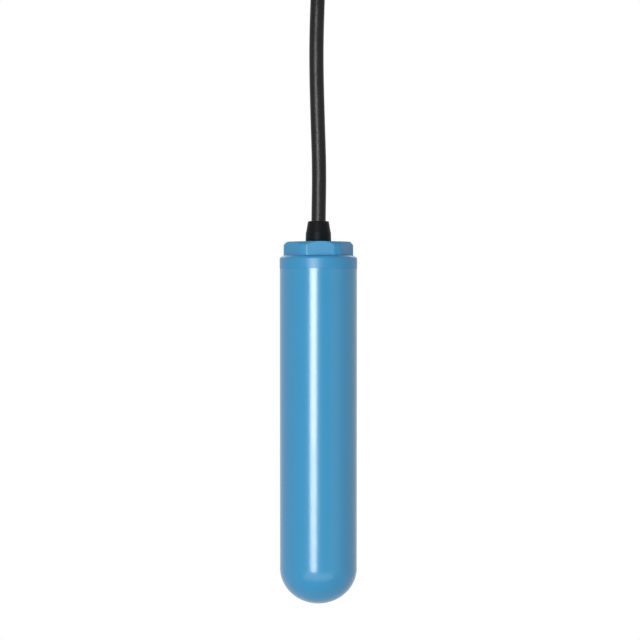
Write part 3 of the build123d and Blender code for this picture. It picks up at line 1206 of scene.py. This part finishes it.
@dataclass
class Studio:
    """Pale floor, white surroundings, soft lights and the photograph's camera, in metres."""

    floor_level: float = -1.7
    floor_radius: float = 3.2
    floor_corners: int = 128
    floor_colour: str = "#F6F6F6"
    fade_start: float = 0.8
    fade_end: float = 3.1
    floor_glow: float = 0.75
    room_strength: float = 0.06
    wall_strength: float = 0.62
    floor_share: float = 0.6
    camera_distance: float = 1.1
    picture_centre: tuple[float, float] = (0.0006, -0.1424)
    picture_width: float = 0.2401
    sensor_width: float = 36.0

    def seen_directly(self, tree: Tree) -> Socket:
        """One for camera, glossy and transmission rays, and nought for the rest.

        Args:
            tree: the floor's or the world's tree.

        Returns:
            The larger of the three answers.
        """
        path = add_node(tree, "ShaderNodeLightPath")
        seen = path.outputs["Is Camera Ray"]
        for name in ("Is Glossy Ray", "Is Transmission Ray"):
            seen = calculate(tree, "MAXIMUM", seen, path.outputs[name])
        return seen

    def floor(self) -> None:
        """A pale round floor whose edge fades into the white surroundings.

        What sees it directly sees it mostly white, so that it stays pale and keeps the shadow.
        """
        material = bpy.data.materials.new("pale_floor")
        material.use_nodes = True
        tree = material.node_tree
        tree.nodes.clear()
        place = add_node(tree, "ShaderNodeTexCoord").outputs["Object"]
        reach = add_node(tree, "ShaderNodeVectorMath", {0: place}, operation="LENGTH")
        reach = reach.outputs["Value"]
        ends = {"Value": reach, "From Min": self.fade_start, "From Max": self.fade_end}
        fade = add_node(tree, "ShaderNodeMapRange", ends, interpolation_type="SMOOTHSTEP")
        pale = add_node(tree, "ShaderNodeBsdfDiffuse", {"Color": linear(self.floor_colour)})
        white = add_node(tree, "ShaderNodeEmission", {"Strength": 1.0})
        glow = calculate(tree, "MULTIPLY", self.seen_directly(tree), self.floor_glow)
        both = {0: glow, 1: pale.outputs[0], 2: white.outputs[0]}
        lit = add_node(tree, "ShaderNodeMixShader", both)
        clear = add_node(tree, "ShaderNodeBsdfTransparent")
        faded = {0: fade.outputs["Result"], 1: lit.outputs[0], 2: clear.outputs[0]}
        mixed = add_node(tree, "ShaderNodeMixShader", faded)
        add_node(tree, "ShaderNodeOutputMaterial", {"Surface": mixed.outputs[0]})
        turns = full_turn(self.floor_corners)
        rim = self.floor_radius * np.stack([np.cos(turns), np.sin(turns), 0 * turns], axis=1)
        mesh = bpy.data.meshes.new("floor")
        mesh.from_pydata(rim, [], [list(range(self.floor_corners))])
        mesh.materials.append(material)
        floor = bpy.data.objects.new("floor", mesh)
        floor.location.z = self.floor_level
        bpy.context.scene.collection.objects.link(floor)

    def surroundings(self) -> None:
        """White to the camera and in reflections, and for everything else a soft fill.

        The fill rises from the dark room above and at the camera's back to the lit floor and the
        lit wall behind the float: it follows a ray's Y, less the floor's share of its Z.
        """
        world = bpy.data.worlds.new("studio_white")
        world.use_nodes = True
        tree = world.node_tree
        tree.nodes.clear()
        direction = add_node(tree, "ShaderNodeTexCoord").outputs["Generated"]
        dot = {0: direction, 1: (0.0, 1.0, -self.floor_share)}
        nearness = add_node(tree, "ShaderNodeVectorMath", dot, operation="DOT_PRODUCT")
        ends = {"From Min": -1.0, "To Min": self.room_strength, "To Max": self.wall_strength}
        ends["Value"] = nearness.outputs["Value"]
        fill = add_node(tree, "ShaderNodeMapRange", ends).outputs["Result"]
        seen = {"Value": self.seen_directly(tree), "To Min": fill, "To Max": 1.0}
        strength = add_node(tree, "ShaderNodeMapRange", seen).outputs["Result"]
        light = {"Color": (1.0, 1.0, 1.0, 1.0), "Strength": strength}
        white = add_node(tree, "ShaderNodeBackground", light)
        add_node(tree, "ShaderNodeOutputWorld", {"Surface": white.outputs[0]})
        bpy.context.scene.world = world

    def camera(self) -> None:
        """A level camera, so long a lens that the photograph's frame spans its picture width."""
        data = bpy.data.cameras.new("photo_camera")
        data.sensor_width = self.sensor_width
        data.lens = self.sensor_width * self.camera_distance / self.picture_width
        camera = bpy.data.objects.new("photo_camera", data)
        camera.location = (self.picture_centre[0], -self.camera_distance, self.picture_centre[1])
        camera.rotation_euler = (math.pi / 2, 0.0, 0.0)
        bpy.context.scene.collection.objects.link(camera)
        bpy.context.scene.camera = camera

    def build(self) -> None:
        """Set up the whole studio."""
        self.camera()
        self.floor()
        self.surroundings()
        for light in LIGHTS:
            light.build()
        bpy.context.scene.view_settings.view_transform = "Standard"
        places = self.camera_distance, self.floor_level
        LOG.info("studio: camera %.2f m away, floor at %.2f m", *places)


def main() -> None:
    """Build the studio and the float switch in order."""
    logging.basicConfig(level=logging.INFO, format="%(name)s %(message)s")
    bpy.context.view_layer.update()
    Studio().build()
    HangingCable().build(CoreEnds().build())
    FloatShell().build()
    HexagonCap().build()
    BendProtector().build()
    InnerWorks().build()


if __name__ == "__main__":
    main()
